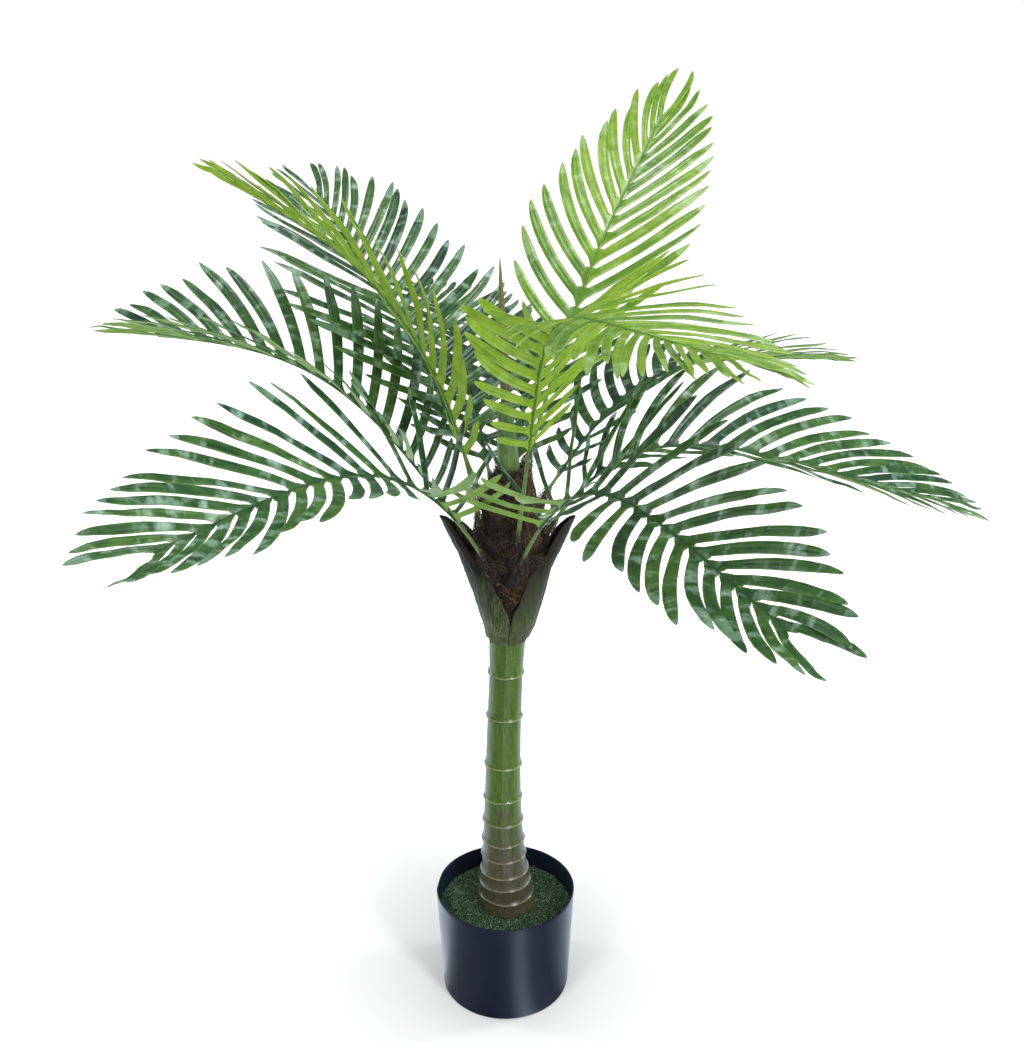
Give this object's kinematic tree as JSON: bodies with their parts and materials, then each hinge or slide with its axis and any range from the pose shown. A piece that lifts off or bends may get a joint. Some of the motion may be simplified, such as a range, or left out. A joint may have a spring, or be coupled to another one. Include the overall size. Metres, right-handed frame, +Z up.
{
  "type": "artificial areca palm in a pot",
  "caption": "Artificial areca palm about waist to chest high, with arching feather fronds on a ringed trunk, set in granules in a round black pot.",
  "frame": {"origin": "centre of the pot's flat underside, where the pot stands on the floor", "axes": "+Z up, and the picture looks along +Y with +X to its right"},
  "size_m": [1.0562, 1.139, 1.213],
  "materials": {
    "pot_plastic": "satin black moulded plastic",
    "granules": "rough dyed granules",
    "trunk_skin": "satin moulded bark, green above and brown at the foot",
    "sheath_skin": "satin moulded leaf sheath, brown green",
    "fibre": "loose dark brown fibre",
    "shaft_skin": "satin moulded green stalk",
    "spear_leaf": "folded dry leaf",
    "young_leaf": "satin bright green leaf cloth",
    "grown_leaf": "satin dark green leaf cloth"
  },
  "bodies": {
    "root": {"pot": "pot_plastic", "fill": "granules", "trunk": "trunk_skin", "boot_left": "sheath_skin", "boot_right": "sheath_skin", "fibre_core": "fibre", "centre_shaft": "shaft_skin", "spear": "spear_leaf", "frond_young_tall": "young_leaf", "frond_young_front": "young_leaf", "frond_young_left": "young_leaf", "frond_back_left": "grown_leaf", "frond_left": "grown_leaf", "frond_front_left": "grown_leaf", "frond_front_right": "grown_leaf", "frond_right": "grown_leaf", "frond_back_right": "grown_leaf", "frond_back": "grown_leaf", "frond_back_low": "grown_leaf"}
  },
  "joints": []
}
